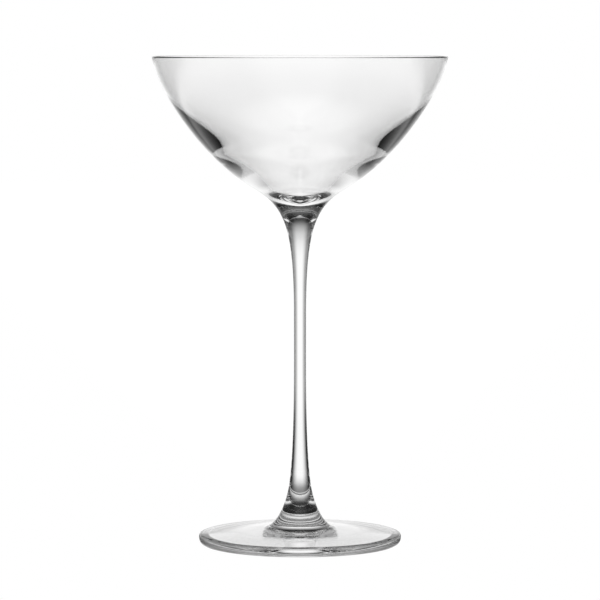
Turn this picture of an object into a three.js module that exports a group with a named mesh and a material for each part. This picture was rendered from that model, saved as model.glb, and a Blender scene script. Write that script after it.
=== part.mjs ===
// A stemmed martini glass with a wide coupe bowl, in clear crystal. It is made as such a glass is made
// at the furnace, from three gathers fused one above the other: the foot, the drawn stem and the bowl.
// Every piece is turned about the glass's own axis. Millimetres, +Z up, with the origin on that axis
// in the plane that the glass stands on.

import * as THREE from "three";

// Overall sizes
const HEIGHT = 180;
const RIM_RADIUS = 54.4;
const FOOT_RADIUS = 37.4;

// Heights of the two fused joints
const FOOT_JOINT = 12;
const BOWL_JOINT = 122;

// Landmarks of the outline, in the order that it passes them: up the outside, over the rim and down
// the inside of the bowl. The heading is the way that the outline runs there, in degrees above the
// outward horizontal, and the two holds are how far it keeps to that heading before and after.
const FOOT_SLOPE = 4;
const HUB = { radius: 13.9, height: 5.69, heading: 180 - FOOT_SLOPE, before: 6, after: 5.9 };
const ANKLE = { radius: 4, height: 22, heading: 98, before: 5.8, after: 14.8 };
const WAIST = { radius: 2.26, height: 85, heading: 90, before: 20, after: 30.4 };
const BASE = { radius: 16.4, height: 131, heading: 30, before: 12.9, after: 18.8 };
const SHOULDER = { radius: 30.3, height: 145.9, heading: 224.3, before: 12, after: 9.3 };
const FLOOR = { radius: 0, height: 127.7, heading: 180, before: 4.7, after: 0 };

// Rim: a round lip on a wall that leans out
const RIM_WALL = 0.87;
const RIM_LEAN = 14;
const RIM_HOLD = 17.8;
const LINING_LEAN = 16;
const LINING_HOLD = 20.4;

// Foot: its rounded edge, the ring that it stands on, and the hollow inside that ring
const EDGE_HEIGHT = 3.75;
const EDGE_ROUND = 1.1;
const EDGE_HOLD = 6;
const HEEL_ROUND = 1.5;
const HEEL_HOLD = 0.9;
const CONTACT_WIDTH = 2.2;
const CONTACT_SLOPE = 7.9;
const CONTACT_HOLD = 2.9;
const UNDERSIDE_RISE = 2.13;
const UNDERSIDE_HOLD = 18;

// Flats that each turned surface is made of, once round
const SEGMENTS = 64;

// A landmark of the outline.
function landmark(radius, height, heading, before, after) {
  return { radius, height, heading, before, after };
}

// The unit vector along a heading, in the half-plane of the outline.
function along(heading) {
  const angle = THREE.MathUtils.degToRad(heading);
  return new THREE.Vector2(Math.cos(angle), Math.sin(angle));
}

// The smooth stretch of outline from one landmark to the next.
function stretch(from, to, steps) {
  const start = new THREE.Vector2(from.radius, from.height);
  const end = new THREE.Vector2(to.radius, to.height);
  const first = start.clone().addScaledVector(along(from.heading), from.after);
  const second = end.clone().addScaledVector(along(to.heading), -to.before);
  return new THREE.CubicBezierCurve(start, first, second, end).getPoints(steps);
}

// The points of a round corner that lie in the given directions from its centre.
function corner(centre, radius, directions) {
  return directions.map((direction) => centre.clone().addScaledVector(along(direction), radius));
}

// Joins stretches end to end, and keeps one of each two points that coincide.
function chain(...stretches) {
  const tooClose = 0.02;
  const points = [];
  for (const point of stretches.flat()) {
    const last = points[points.length - 1];
    if (!last || last.distanceTo(point) > tooClose) {
      points.push(point);
    }
  }
  return points;
}

// The part of a rising outline between two heights, with a new point at each height that cuts it.
function between(outline, low, high) {
  const points = [];
  outline.forEach((point, i) => {
    const before = outline[i - 1];
    for (const level of [low, high]) {
      if (before && before.y < level && level < point.y) {
        points.push(before.clone().lerp(point, (level - before.y) / (point.y - before.y)));
      }
    }
    if (point.y >= low && point.y <= high) {
      points.push(point);
    }
  });
  return points;
}

const onAxis = (height) => new THREE.Vector2(0, height);

// The round lip of the rim, which joins the outside to the lining.
const lipRadius = RIM_WALL / 2;
const lipCentre = new THREE.Vector2(RIM_RADIUS - lipRadius, HEIGHT - lipRadius);
const lip = corner(lipCentre, lipRadius, [-RIM_LEAN, 0, 30, 60, 90, 120, 150, 180 - LINING_LEAN]);
const lipStart = lip[0];
const lipEnd = lip[lip.length - 1];

// The outside of the glass, from the top of the foot's edge up to the lip.
const edgeCentre = new THREE.Vector2(FOOT_RADIUS - EDGE_ROUND, EDGE_HEIGHT - EDGE_ROUND);
const edge = corner(edgeCentre, EDGE_ROUND, [0, 22, 44, 65, 90 - FOOT_SLOPE]);
const edgeTop = edge[edge.length - 1];
const outside = chain(
  stretch(landmark(edgeTop.x, edgeTop.y, 180 - FOOT_SLOPE, 0, EDGE_HOLD), HUB, 3),
  stretch(HUB, ANKLE, 12),
  stretch(ANKLE, WAIST, 8),
  stretch(WAIST, BASE, 18),
  stretch(BASE, landmark(lipStart.x, lipStart.y, 90 - RIM_LEAN, RIM_HOLD, 0), 18),
);

// The inside of the bowl, from the lip down to the middle of its floor. It keeps close to the outside
// as far as the shoulder, below which the base thickens towards the stem.
const lining = chain(
  stretch(landmark(lipEnd.x, lipEnd.y, 270 - LINING_LEAN, 0, LINING_HOLD), SHOULDER, 12),
  stretch(SHOULDER, FLOOR, 12),
);

// The foot's hollowed underside, the ring that it stands on, and the heel up to its edge.
const contactOuter = new THREE.Vector2(FOOT_RADIUS - HEEL_ROUND, 0);
const contactInner = landmark(contactOuter.x - CONTACT_WIDTH, 0, -CONTACT_SLOPE, CONTACT_HOLD, 0);
const underside = stretch(landmark(0, UNDERSIDE_RISE, 0, 0, UNDERSIDE_HOLD), contactInner, 8);
const heelStart = landmark(contactOuter.x, contactOuter.y, 0, 0, HEEL_HOLD);
const heelEnd = landmark(FOOT_RADIUS, EDGE_HEIGHT - EDGE_ROUND, 90, HEEL_ROUND, 0);
const heel = stretch(heelStart, heelEnd, 5);

// A solid turned from its outline, which runs from the axis round the section and back to the axis.
function turned(name, outline) {
  const geometry = new THREE.LatheGeometry(outline, SEGMENTS);
  geometry.rotateX(Math.PI / 2);
  const crystal = new THREE.MeshStandardMaterial({
    color: 0xfafafa,
    roughness: 0.03,
    metalness: 0,
    transparent: true,
    opacity: 0.35,
  });
  const mesh = new THREE.Mesh(geometry, crystal);
  mesh.name = name;
  return mesh;
}

const foot = turned(
  "foot",
  chain(underside, heel, edge, between(outside, 0, FOOT_JOINT), [onAxis(FOOT_JOINT)]),
);
const stem = turned(
  "stem",
  chain([onAxis(FOOT_JOINT)], between(outside, FOOT_JOINT, BOWL_JOINT), [onAxis(BOWL_JOINT)]),
);
const bowl = turned(
  "bowl",
  chain([onAxis(BOWL_JOINT)], between(outside, BOWL_JOINT, HEIGHT), lip, lining),
);

const glass = new THREE.Group();
glass.add(foot, stem, bowl);

export default glass;
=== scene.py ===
import math
from collections import namedtuple

import bpy
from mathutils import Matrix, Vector


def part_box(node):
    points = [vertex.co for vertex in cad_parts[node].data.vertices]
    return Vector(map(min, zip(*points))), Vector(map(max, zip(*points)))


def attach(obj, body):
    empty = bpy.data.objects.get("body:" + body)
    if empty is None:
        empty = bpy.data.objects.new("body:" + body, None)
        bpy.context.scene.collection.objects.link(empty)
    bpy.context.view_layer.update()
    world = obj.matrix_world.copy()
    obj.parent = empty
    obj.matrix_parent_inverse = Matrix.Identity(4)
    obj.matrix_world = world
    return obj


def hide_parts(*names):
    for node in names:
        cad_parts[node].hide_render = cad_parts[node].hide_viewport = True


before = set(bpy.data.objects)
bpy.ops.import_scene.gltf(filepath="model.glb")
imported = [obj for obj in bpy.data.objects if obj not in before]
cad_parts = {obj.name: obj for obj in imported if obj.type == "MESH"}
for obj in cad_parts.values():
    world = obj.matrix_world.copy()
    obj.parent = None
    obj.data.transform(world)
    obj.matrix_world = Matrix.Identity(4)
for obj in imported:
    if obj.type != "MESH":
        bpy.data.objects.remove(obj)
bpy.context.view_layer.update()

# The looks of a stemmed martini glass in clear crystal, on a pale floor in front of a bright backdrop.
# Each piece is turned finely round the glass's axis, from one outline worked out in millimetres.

MM = 0.001
SEGMENTS = 360

# Points closer than this, in millimetres, count as one, and so does a point this close to the axis
TOUCHING = 1e-3

# Sizes that the frame gives, in millimetres
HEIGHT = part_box("bowl")[1][2] / MM
RIM_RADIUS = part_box("bowl")[1][0] / MM
FOOT_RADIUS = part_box("foot")[1][0] / MM
FOOT_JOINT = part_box("stem")[0][2] / MM
BOWL_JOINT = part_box("bowl")[0][2] / MM

# Landmarks of the outline, in the order that it passes them: up the outside, over the rim and down
# the inside of the bowl. The heading is the way that the outline runs there, in degrees above the
# outward horizontal, and the two holds are how far it keeps to that heading before and after.
Landmark = namedtuple("Landmark", "radius height heading before after")
FOOT_SLOPE = 4
HUB = Landmark(13.9, 5.69, 180 - FOOT_SLOPE, 6, 5.9)
ANKLE = Landmark(4, 22, 98, 5.8, 14.8)
WAIST = Landmark(2.26, 85, 90, 20, 30.4)
BASE = Landmark(16.4, 131, 30, 12.9, 18.8)
SHOULDER = Landmark(30.3, 145.9, 224.3, 12, 9.3)
FLOOR = Landmark(0, 127.7, 180, 4.7, 0)

# Rim: a round lip on a wall that leans out
RIM_WALL = 0.87
RIM_LEAN = 14
RIM_HOLD = 17.8
LINING_LEAN = 16
LINING_HOLD = 20.4

# Foot: its rounded edge, the ring that it stands on, and the hollow inside that ring
EDGE_HEIGHT = 3.75
EDGE_ROUND = 1.1
EDGE_HOLD = 6
HEEL_ROUND = 1.5
HEEL_HOLD = 0.9
CONTACT_WIDTH = 2.2
CONTACT_SLOPE = 7.9
CONTACT_HOLD = 2.9
UNDERSIDE_RISE = 2.13
UNDERSIDE_HOLD = 18

# Crystal: its refractive index, and the faint unevenness that fire polishing leaves. A piece's ripple is
# how fine its noise is, and the stem's is drawn out along it. Light is followed through many bounces.
REFRACTION = 1.52
GLOSS_VARIATION = 0.006
RIPPLE_STRENGTH = 0.04
RIPPLE_DEPTH = 0.02
FOOT_RIPPLE = 120
STEM_RIPPLE = 400
BOWL_RIPPLE = 60
EVEN = (1, 1, 1)
DRAWN = (1, 1, 0.05)
BOUNCES = 32

# Camera: a long lens in millimetres, just above the rim and looking slightly down from metres away
LENS = 207.8
CAMERA_DISTANCE = 1.274
CAMERA_HEIGHT = 0.1901
CAMERA_PITCH = 4.48

# Light, in parts of full white, from a studio that stays still. Bearings are from +Y, which is straight
# behind the glass in the main view, and rises are from level. A fade is how far, each side of its middle,
# a light goes from full to nothing. SHADE is the dark room. A low white cove runs round the back of the
# camera, from one dark flank to the other.
SHADE = 0.02
BACKDROP_LIGHT = 1.02
BACKDROP_BEARING = math.radians(26)
BACKDROP_FADE = math.radians(19)
BACKDROP_HIGH = math.radians(17)
HIGH_FADE = math.radians(17)
FLANK_BEARING = math.radians(56)
FLANK_FADE = math.radians(20)
FLANK_LIGHT = 0.33
FRONT_BEARING = math.radians(140)
FRONT_FADE = math.radians(20)
FRONT_LIGHT = 0.55
AROUND_BEARING = math.radians(80)
AROUND_FADE = math.radians(6)
AROUND_LIGHT = 0.9
COVE_TOP = math.radians(3)
COVE_FADE = math.radians(1)

# Table that the glass stands on, in metres, as the glass sees it. Its light is painted into its glow: a
# painted pool of the backdrop's light, with painted shade that dims it towards the glass. Away from the
# glass it is painted white before the cove too, and at any bearing where it is looked down on. A painted
# sheen makes it bright at a glance under the foot and bright from above everywhere, with a painted shadow
# under the hub.
TABLE_NEAR = 0.045
TABLE_FAR = 0.105
# How light the table stays in its painted shade next to the glass
PAINTED_SHADE_NEAR_GLASS = 0.22
FLANK_NEAR = 0.17
FLANK_FAR = 0.56
AROUND_NEAR = 0.15
AROUND_FAR = 0.4
# Angles from level at which the painted sheen turns on and off: where the table is looked down on, at a
# glance under the foot, and from above
RAISED_SHALLOW = math.radians(16)
RAISED_STEEP = math.radians(24)
GLANCE_SHALLOW = math.radians(17)
GLANCE_STEEP = math.radians(38)
ABOVE_SHALLOW = math.radians(52)
ABOVE_STEEP = math.radians(72)
PAINTED_SHEEN_FROM_ABOVE = 0.93
# Painted shadow under the hub: its radius and its fade
HUB_SHADOW = 0.018
HUB_SHADOW_FADE = 0.006

# Stage, in metres: half the floor's width, and the dome of the studio with the faces that it is made of
FLOOR_HALF = 3
SURROUND_RADIUS = 6
SURROUND_BEARINGS = 64
SURROUND_RISES = 32


# ---------------------------------------------------------------- outline

def along(heading):
    """The unit vector along a heading, in the half-plane of the outline."""
    angle = math.radians(heading)
    return Vector((math.cos(angle), math.sin(angle)))


def stretch(start, end, steps):
    """The smooth stretch of outline from one landmark to the next."""
    first = Vector(start[:2]) + along(start.heading) * start.after
    second = Vector(end[:2]) - along(end.heading) * end.before
    points = []
    for i in range(steps + 1):
        t = i / steps
        s = 1 - t
        points.append(Vector(start[:2]) * s**3 + first * 3 * s * s * t
                      + second * 3 * s * t * t + Vector(end[:2]) * t**3)
    return points


def corner(centre, radius, start, end, steps):
    """A round corner about a centre, from one direction to another."""
    return [centre + along(start + (end - start) * i / steps) * radius for i in range(steps + 1)]


def chain(*stretches):
    """Joins stretches end to end, and keeps one of each two points that coincide."""
    points = []
    for point in (p for part in stretches for p in part):
        if not points or (points[-1] - point).length > TOUCHING:
            points.append(point)
    return points


def glass_outline():
    """The whole glass's outline, from the middle of its underside round to the middle of its floor.

    The last number of each stretch or corner is how many steps it is made in.
    """
    edge_centre = Vector((FOOT_RADIUS - EDGE_ROUND, EDGE_HEIGHT - EDGE_ROUND))
    edge = corner(edge_centre, EDGE_ROUND, 0, 90 - FOOT_SLOPE, 12)
    edge_top = Landmark(*edge[-1], 180 - FOOT_SLOPE, 0, EDGE_HOLD)

    contact_outer = Landmark(FOOT_RADIUS - HEEL_ROUND, 0, 0, 0, HEEL_HOLD)
    contact_inner = Landmark(contact_outer.radius - CONTACT_WIDTH, 0, -CONTACT_SLOPE, CONTACT_HOLD, 0)
    hollow = Landmark(0, UNDERSIDE_RISE, 0, 0, UNDERSIDE_HOLD)
    heel_end = Landmark(FOOT_RADIUS, edge_centre.y, 90, HEEL_ROUND, 0)

    lip_radius = RIM_WALL / 2
    lip_centre = Vector((RIM_RADIUS - lip_radius, HEIGHT - lip_radius))
    lip = corner(lip_centre, lip_radius, -RIM_LEAN, 180 - LINING_LEAN, 24)
    lip_start = Landmark(*lip[0], 90 - RIM_LEAN, RIM_HOLD, 0)
    lip_end = Landmark(*lip[-1], 270 - LINING_LEAN, 0, LINING_HOLD)

    return chain(
        stretch(hollow, contact_inner, 40),
        stretch(contact_outer, heel_end, 16),
        edge,
        stretch(edge_top, HUB, 24),
        stretch(HUB, ANKLE, 48),
        stretch(ANKLE, WAIST, 60),
        stretch(WAIST, BASE, 90),
        stretch(BASE, lip_start, 90),
        lip,
        stretch(lip_end, SHOULDER, 64),
        stretch(SHOULDER, FLOOR, 60),
    )


def with_level(outline, level):
    """The outline with one more point where it first rises through a level, and that point's index."""
    for i, (before, point) in enumerate(zip(outline, outline[1:]), 1):
        if before.y < level <= point.y:
            share = (level - before.y) / (point.y - before.y)
            return outline[:i] + [before.lerp(point, share)] + outline[i:], i
    raise ValueError("the outline never rises through that level")


def side_normals(outline):
    """The outward direction at each point of an outline, square to the line through its neighbours."""
    normals = []
    for i in range(len(outline)):
        ahead = outline[min(i + 1, len(outline) - 1)] - outline[max(i - 1, 0)]
        normals.append(Vector((ahead.y, -ahead.x)).normalized())
    return normals


def turned(name, outline, normals, caps, surface, seam):
    """A closed solid turned from its outline, which starts and ends on the axis.

    caps holds the steps of the outline that are the flat faces by which the piece is fused.
    """
    rings, points = [], []
    for point in outline:
        if point.x < TOUCHING:
            rings.append([len(points)])
            points.append((0, 0, point.y * MM))
            continue
        rings.append(range(len(points), len(points) + SEGMENTS))
        for i in range(SEGMENTS):
            turn = math.tau * i / SEGMENTS
            points.append((point.x * MM * math.cos(turn), point.x * MM * math.sin(turn), point.y * MM))

    faces, slots, face_normals = [], [], []
    for step, (low, high) in enumerate(zip(rings, rings[1:])):
        flat = Vector((0, 0, 1 if step else -1))
        for i in range(SEGMENTS):
            following = (i + 1) % SEGMENTS
            corners = [(step, low, i), (step, low, following),
                       (step + 1, high, following), (step + 1, high, i)]
            if len(low) == 1:
                corners.pop(1)
            if len(high) == 1:
                corners.pop(2)
            faces.append([ring[place % len(ring)] for _, ring, place in corners])
            slots.append(1 if step in caps else 0)
            for level, ring, place in corners:
                out = normals[level]
                turn = math.tau * (i + 0.5 if len(ring) == 1 else place) / SEGMENTS
                round_normal = Vector((out.x * math.cos(turn), out.x * math.sin(turn), out.y))
                face_normals.append(flat if step in caps else round_normal)

    mesh = bpy.data.meshes.new(name)
    mesh.from_pydata(points, [], faces)
    mesh.polygons.foreach_set("material_index", slots)
    mesh.polygons.foreach_set("use_smooth", [True] * len(faces))
    mesh.materials.append(surface)
    mesh.materials.append(seam)
    mesh.update()
    mesh.normals_split_custom_set(face_normals)
    piece = bpy.data.objects.new(name, mesh)
    bpy.context.collection.objects.link(piece)
    return piece


# ---------------------------------------------------------------- materials

def new_material(name):
    """A material with an empty node tree, and its tree and output."""
    material = bpy.data.materials.new(name)
    material.use_nodes = True
    tree = material.node_tree
    tree.nodes.clear()
    return material, tree, tree.nodes.new("ShaderNodeOutputMaterial")


def crystal(name, ripple_scale, ripple_stretch):
    """Clear crystal, with the faint unevenness of fire-polished glass in its gloss and its surface."""
    material, tree, output = new_material(name)
    shader = tree.nodes.new("ShaderNodeBsdfPrincipled")
    shader.inputs["Base Color"].default_value = (1, 1, 1, 1)
    shader.inputs["Transmission Weight"].default_value = 1
    shader.inputs["IOR"].default_value = REFRACTION
    place = tree.nodes.new("ShaderNodeTexCoord")
    mapping = tree.nodes.new("ShaderNodeMapping")
    mapping.inputs["Scale"].default_value = ripple_stretch
    ripple = tree.nodes.new("ShaderNodeTexNoise")
    ripple.inputs["Scale"].default_value = ripple_scale
    ripple.inputs["Detail"].default_value = 1
    gloss = tree.nodes.new("ShaderNodeMapRange")
    gloss.inputs["To Min"].default_value = 0
    gloss.inputs["To Max"].default_value = GLOSS_VARIATION
    bump = tree.nodes.new("ShaderNodeBump")
    bump.inputs["Strength"].default_value = RIPPLE_STRENGTH
    bump.inputs["Distance"].default_value = RIPPLE_DEPTH * MM
    tree.links.new(place.outputs["Object"], mapping.inputs["Vector"])
    tree.links.new(mapping.outputs["Vector"], ripple.inputs["Vector"])
    tree.links.new(ripple.outputs["Fac"], gloss.inputs["Value"])
    tree.links.new(ripple.outputs["Fac"], bump.inputs["Height"])
    tree.links.new(gloss.outputs["Result"], shader.inputs["Roughness"])
    tree.links.new(bump.outputs["Normal"], shader.inputs["Normal"])
    tree.links.new(shader.outputs["BSDF"], output.inputs["Surface"])
    return material


def fused_seam():
    """The face where two gathers are fused: light goes through it unchanged."""
    material, tree, output = new_material("fused_seam")
    shader = tree.nodes.new("ShaderNodeBsdfTransparent")
    tree.links.new(shader.outputs["BSDF"], output.inputs["Surface"])
    return material


def glass():
    """The three fused gathers, each in place of its CAD node."""
    outline, foot_end = with_level(glass_outline(), FOOT_JOINT)
    outline, stem_end = with_level(outline, BOWL_JOINT)
    normals = side_normals(outline)
    up, down = Vector((0, 1)), Vector((0, -1))
    low = Vector((0, FOOT_JOINT))
    high = Vector((0, BOWL_JOINT))
    seam = fused_seam()

    foot_line = outline[: foot_end + 1] + [low]
    foot_normals = normals[: foot_end + 1] + [up]
    stem_line = [low] + outline[foot_end : stem_end + 1] + [high]
    stem_normals = [down] + normals[foot_end : stem_end + 1] + [up]
    bowl_line = [high] + outline[stem_end:]
    bowl_normals = [down] + normals[stem_end:]

    pieces = {
        "foot": turned("foot_crystal", foot_line, foot_normals, {len(foot_line) - 2},
                       crystal("foot_crystal", FOOT_RIPPLE, EVEN), seam),
        "stem": turned("stem_crystal", stem_line, stem_normals, {0, len(stem_line) - 2},
                       crystal("stem_crystal", STEM_RIPPLE, DRAWN), seam),
        "bowl": turned("bowl_crystal", bowl_line, bowl_normals, {0},
                       crystal("bowl_crystal", BOWL_RIPPLE, EVEN), seam),
    }
    for node, piece in pieces.items():
        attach(piece, "root")
        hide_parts(node)


# ---------------------------------------------------------------- stage

def camera():
    """The camera that the glass is looked at with."""
    data = bpy.data.cameras.new("camera")
    data.sensor_width = 36
    data.lens = LENS
    made = bpy.data.objects.new("camera", data)
    made.location = (0, -CAMERA_DISTANCE, CAMERA_HEIGHT)
    made.rotation_euler = (math.radians(90 - CAMERA_PITCH), 0, 0)
    bpy.context.collection.objects.link(made)
    bpy.context.scene.camera = made


def staged(name, points, faces, material):
    """A mesh of the stage, which stays still."""
    mesh = bpy.data.meshes.new(name)
    mesh.from_pydata(points, [], faces)
    mesh.materials.append(material)
    made = bpy.data.objects.new(name, mesh)
    bpy.context.collection.objects.link(made)
    return made


def blended(tree, value, start, end, at_start, at_end):
    """A number that goes smoothly from one value to another while a socket goes from start to end."""
    node = tree.nodes.new("ShaderNodeMapRange")
    node.interpolation_type = "SMOOTHSTEP"
    tree.links.new(value, node.inputs["Value"])
    node.inputs["From Min"].default_value = start
    node.inputs["From Max"].default_value = end
    node.inputs["To Min"].default_value = at_start
    node.inputs["To Max"].default_value = at_end
    return node.outputs["Result"]


def until(tree, value, limit, fade, strength=1):
    """A brightness that is full while a socket is below a limit, and fades out round that limit."""
    return blended(tree, value, limit - fade, limit + fade, strength, 0)


def beyond(tree, value, limit, fade, strength=1):
    """A brightness that is full while a socket is above a limit, and fades out round that limit."""
    return blended(tree, value, limit - fade, limit + fade, 0, strength)


def combined(tree, operation, *inputs):
    """The result of a maths node. Its inputs are sockets or plain numbers."""
    node = tree.nodes.new("ShaderNodeMath")
    node.operation = operation
    for socket, value in zip(node.inputs, inputs):
        if isinstance(value, (int, float)):
            socket.default_value = value
        else:
            tree.links.new(value, socket)
    return node.outputs["Value"]


def product(tree, first, *others):
    """The product of sockets."""
    for other in others:
        first = combined(tree, "MULTIPLY", first, other)
    return first


def stage_place(tree):
    """A stage point's bearing from +Y, its height and its distance."""
    place = tree.nodes.new("ShaderNodeTexCoord").outputs["Object"]
    parts = tree.nodes.new("ShaderNodeSeparateXYZ")
    length = tree.nodes.new("ShaderNodeVectorMath")
    length.operation = "LENGTH"
    tree.links.new(place, parts.inputs["Vector"])
    tree.links.new(place, length.inputs[0])
    aside = combined(tree, "ABSOLUTE", parts.outputs["X"])
    bearing = combined(tree, "ARCTAN2", aside, parts.outputs["Y"])
    return bearing, parts.outputs["Z"], length.outputs["Value"]


def floor():
    """The floor: the lens sees plain white, and the glass sees a table whose light, shade and sheen are
    painted into its glow.
    """
    material, tree, output = new_material("floor")
    bearing, _, away = stage_place(tree)
    # Painted pool of the backdrop's light on the table, dimmed by painted shade towards the glass
    backdrop = product(
        tree,
        until(tree, bearing, BACKDROP_BEARING, BACKDROP_FADE),
        blended(tree, away, TABLE_NEAR, TABLE_FAR, PAINTED_SHADE_NEAR_GLASS, BACKDROP_LIGHT),
    )
    # Painted pool of the flank lights' light on the table, away from the glass
    flanks = product(
        tree,
        until(tree, bearing, FLANK_BEARING, FLANK_FADE, FLANK_LIGHT),
        blended(tree, away, FLANK_NEAR, FLANK_FAR, 0, 1),
    )
    # The table's painted sheen follows how steeply it is seen, and is full where it is looked down on
    facing = tree.nodes.new("ShaderNodeLayerWeight").outputs["Facing"]
    painted_raised_sheen = blended(tree, facing, 1 - math.sin(RAISED_STEEP), 1 - math.sin(RAISED_SHALLOW), 1, 0)
    # Painted light of the cove on the table away from the glass, and painted white where the table is
    # looked down on
    painted_cove_light_and_sheen = product(
        tree,
        combined(tree, "MAXIMUM", beyond(tree, bearing, AROUND_BEARING, AROUND_FADE), painted_raised_sheen),
        blended(tree, away, AROUND_NEAR, AROUND_FAR, 0, AROUND_LIGHT),
    )
    # Painted sheen under the foot, bright at a glance
    glance = blended(tree, facing, 1 - math.sin(GLANCE_STEEP), 1 - math.sin(GLANCE_SHALLOW), 0, 1)
    # Painted sheen from above everywhere, with a painted shadow under the hub
    above = product(
        tree,
        blended(tree, facing, 1 - math.sin(ABOVE_STEEP), 1 - math.sin(ABOVE_SHALLOW), PAINTED_SHEEN_FROM_ABOVE, 0),
        beyond(tree, away, HUB_SHADOW, HUB_SHADOW_FADE),
    )
    painted_sheen_under_foot = product(tree, glance, until(tree, away, FOOT_RADIUS * MM, MM))
    # Painted light on the open table, beyond the foot
    painted_open_table_light = product(
        tree,
        combined(tree, "MAXIMUM", combined(tree, "MAXIMUM", backdrop, flanks), painted_cove_light_and_sheen),
        beyond(tree, away, FOOT_RADIUS * MM, MM),
    )
    # All the painted light on the table, glowing over the dark room's shade; the lens sees plain white
    light = combined(tree, "MAXIMUM", combined(tree, "ADD", painted_sheen_under_foot, painted_open_table_light), above)
    seen = tree.nodes.new("ShaderNodeLightPath").outputs["Is Camera Ray"]
    shader = tree.nodes.new("ShaderNodeEmission")
    painted_table_glow = combined(tree, "MULTIPLY_ADD", light, 1 - SHADE, SHADE)
    tree.links.new(combined(tree, "MAXIMUM", painted_table_glow, seen), shader.inputs["Strength"])
    tree.links.new(shader.outputs["Emission"], output.inputs["Surface"])
    corners = [(x * FLOOR_HALF, y * FLOOR_HALF, 0) for x, y in ((-1, -1), (1, -1), (1, 1), (-1, 1))]
    staged("floor", corners, [(0, 1, 2, 3)], material)


def surround():
    """The studio round the glass, which only the glass sees: backdrop, flanks, front light and cove."""
    material, tree, output = new_material("surround")
    bearing, up, away = stage_place(tree)
    rise = combined(tree, "ARCSINE", combined(tree, "DIVIDE", up, away))
    low = until(tree, rise, BACKDROP_HIGH, HIGH_FADE)
    backdrop = product(tree, until(tree, bearing, BACKDROP_BEARING, BACKDROP_FADE, BACKDROP_LIGHT), low)
    flanks = product(tree, until(tree, bearing, FLANK_BEARING, FLANK_FADE, FLANK_LIGHT), low)
    front = beyond(tree, bearing, FRONT_BEARING, FRONT_FADE, FRONT_LIGHT)
    cove = product(
        tree,
        beyond(tree, bearing, AROUND_BEARING, AROUND_FADE, AROUND_LIGHT),
        until(tree, rise, COVE_TOP, COVE_FADE),
    )
    behind = combined(tree, "MAXIMUM", backdrop, flanks)
    light = combined(tree, "MAXIMUM", combined(tree, "MAXIMUM", behind, front), cove)
    shader = tree.nodes.new("ShaderNodeEmission")
    tree.links.new(combined(tree, "MULTIPLY_ADD", light, 1 - SHADE, SHADE), shader.inputs["Strength"])
    tree.links.new(shader.outputs["Emission"], output.inputs["Surface"])

    points = []
    for j in range(SURROUND_RISES + 1):
        latitude = math.pi * (j / SURROUND_RISES - 0.5)
        ring_radius = SURROUND_RADIUS * math.cos(latitude)
        for i in range(SURROUND_BEARINGS):
            longitude = math.tau * i / SURROUND_BEARINGS
            points.append((ring_radius * math.cos(longitude), ring_radius * math.sin(longitude),
                           SURROUND_RADIUS * math.sin(latitude)))
    faces = []
    for j in range(SURROUND_RISES):
        below = j * SURROUND_BEARINGS
        above = below + SURROUND_BEARINGS
        for i in range(SURROUND_BEARINGS):
            following = (i + 1) % SURROUND_BEARINGS
            faces.append((below + i, below + following, above + following, above + i))
    staged("surround", points, faces, material).visible_camera = False


def backing():
    """Plain white where the lens looks past everything."""
    world = bpy.data.worlds.new("backing")
    world.use_nodes = True
    sky = world.node_tree.nodes["Background"]
    sky.inputs["Color"].default_value = (1, 1, 1, 1)
    sky.inputs["Strength"].default_value = 1
    bpy.context.scene.world = world


glass()
camera()
floor()
surround()
backing()

scene = bpy.context.scene
scene.view_settings.view_transform = "Standard"
scene.cycles.max_bounces = BOUNCES
scene.cycles.transmission_bounces = BOUNCES
scene.cycles.transparent_max_bounces = BOUNCES // 2
scene.cycles.glossy_bounces = BOUNCES // 2
